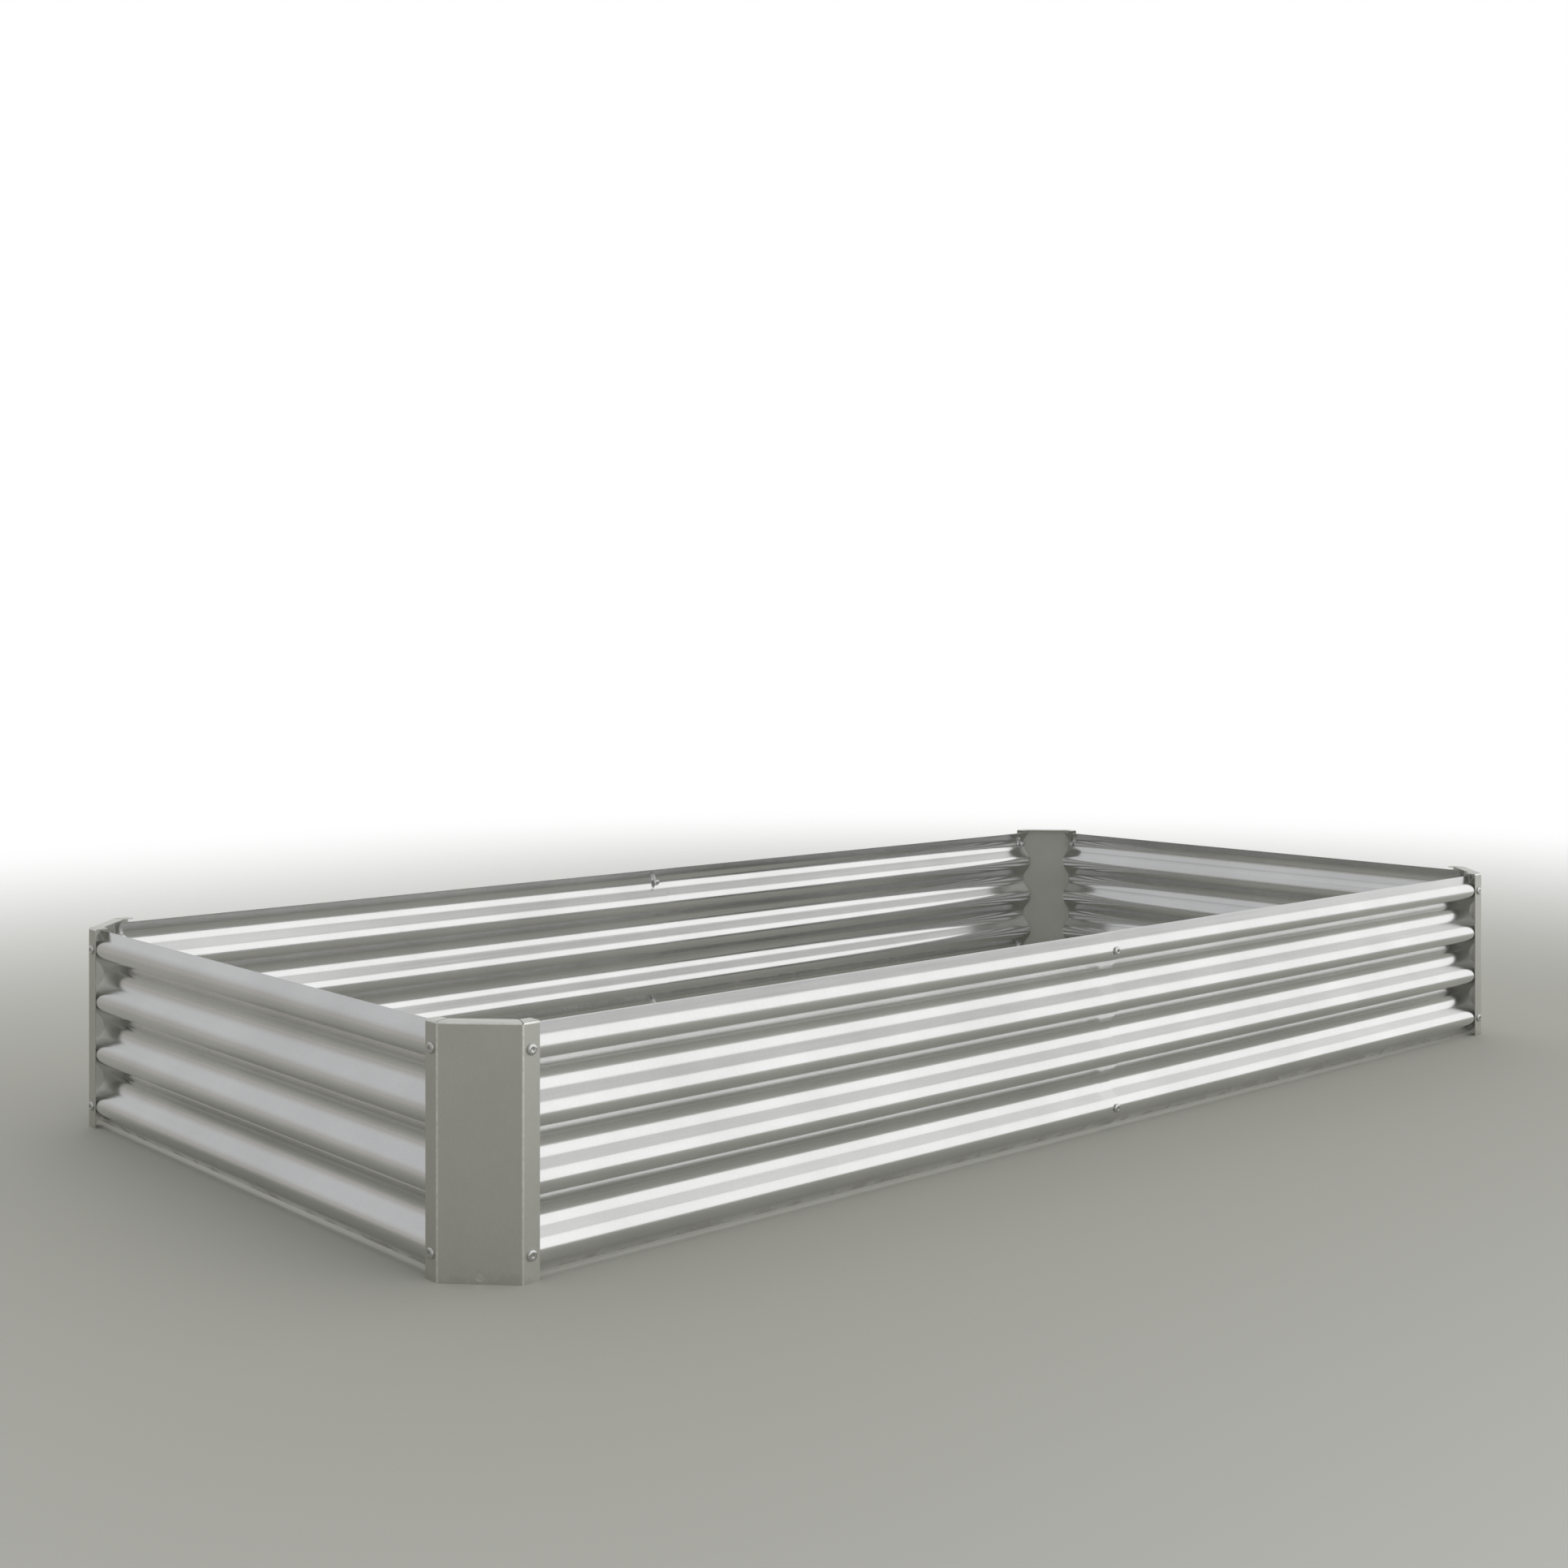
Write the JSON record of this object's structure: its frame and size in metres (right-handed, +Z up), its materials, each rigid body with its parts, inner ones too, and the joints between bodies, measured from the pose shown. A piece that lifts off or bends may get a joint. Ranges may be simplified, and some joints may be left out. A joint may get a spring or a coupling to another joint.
{
  "type": "raised garden bed",
  "caption": "Open-bottomed rectangular raised garden bed with corrugated steel walls bolted to folded corner posts that have mitred top lips.",
  "frame": {"origin": "middle of the footprint, on the ground", "axes": "+X along the long walls, +Y along the end walls, from the front long wall to the back one, +Z up"},
  "size_m": [2.3666, 1.1266, 0.305],
  "materials": {
    "corrugated_panel": "bright zinc-aluminium coated sheet, smooth, with a soft gloss",
    "corner_post": "matte galvanised sheet",
    "bolt": "bright zinc-plated steel",
    "washer_and_nut": "zinc-plated steel"
  },
  "bodies": {
    "root": {"post_front_left": "corner_post", "post_front_right": "corner_post", "post_back_left": "corner_post", "post_back_right": "corner_post", "panel_front_left": "corrugated_panel", "panel_front_right": "corrugated_panel", "panel_back_left": "corrugated_panel", "panel_back_right": "corrugated_panel", "panel_end_left": "corrugated_panel", "panel_end_right": "corrugated_panel", "bolts_front_left": "bolt", "bolts_front_right": "bolt", "bolts_back_left": "bolt", "bolts_back_right": "bolt", "bolts_front_joint": "bolt", "bolts_back_joint": "bolt", "washers_front_left": "washer_and_nut", "washers_front_right": "washer_and_nut", "washers_back_left": "washer_and_nut", "washers_back_right": "washer_and_nut", "washers_front_joint": "washer_and_nut", "washers_back_joint": "washer_and_nut", "nuts_front_left": "washer_and_nut", "nuts_front_right": "washer_and_nut", "nuts_back_left": "washer_and_nut", "nuts_back_right": "washer_and_nut", "nuts_front_joint": "washer_and_nut", "nuts_back_joint": "washer_and_nut"}
  },
  "joints": []
}
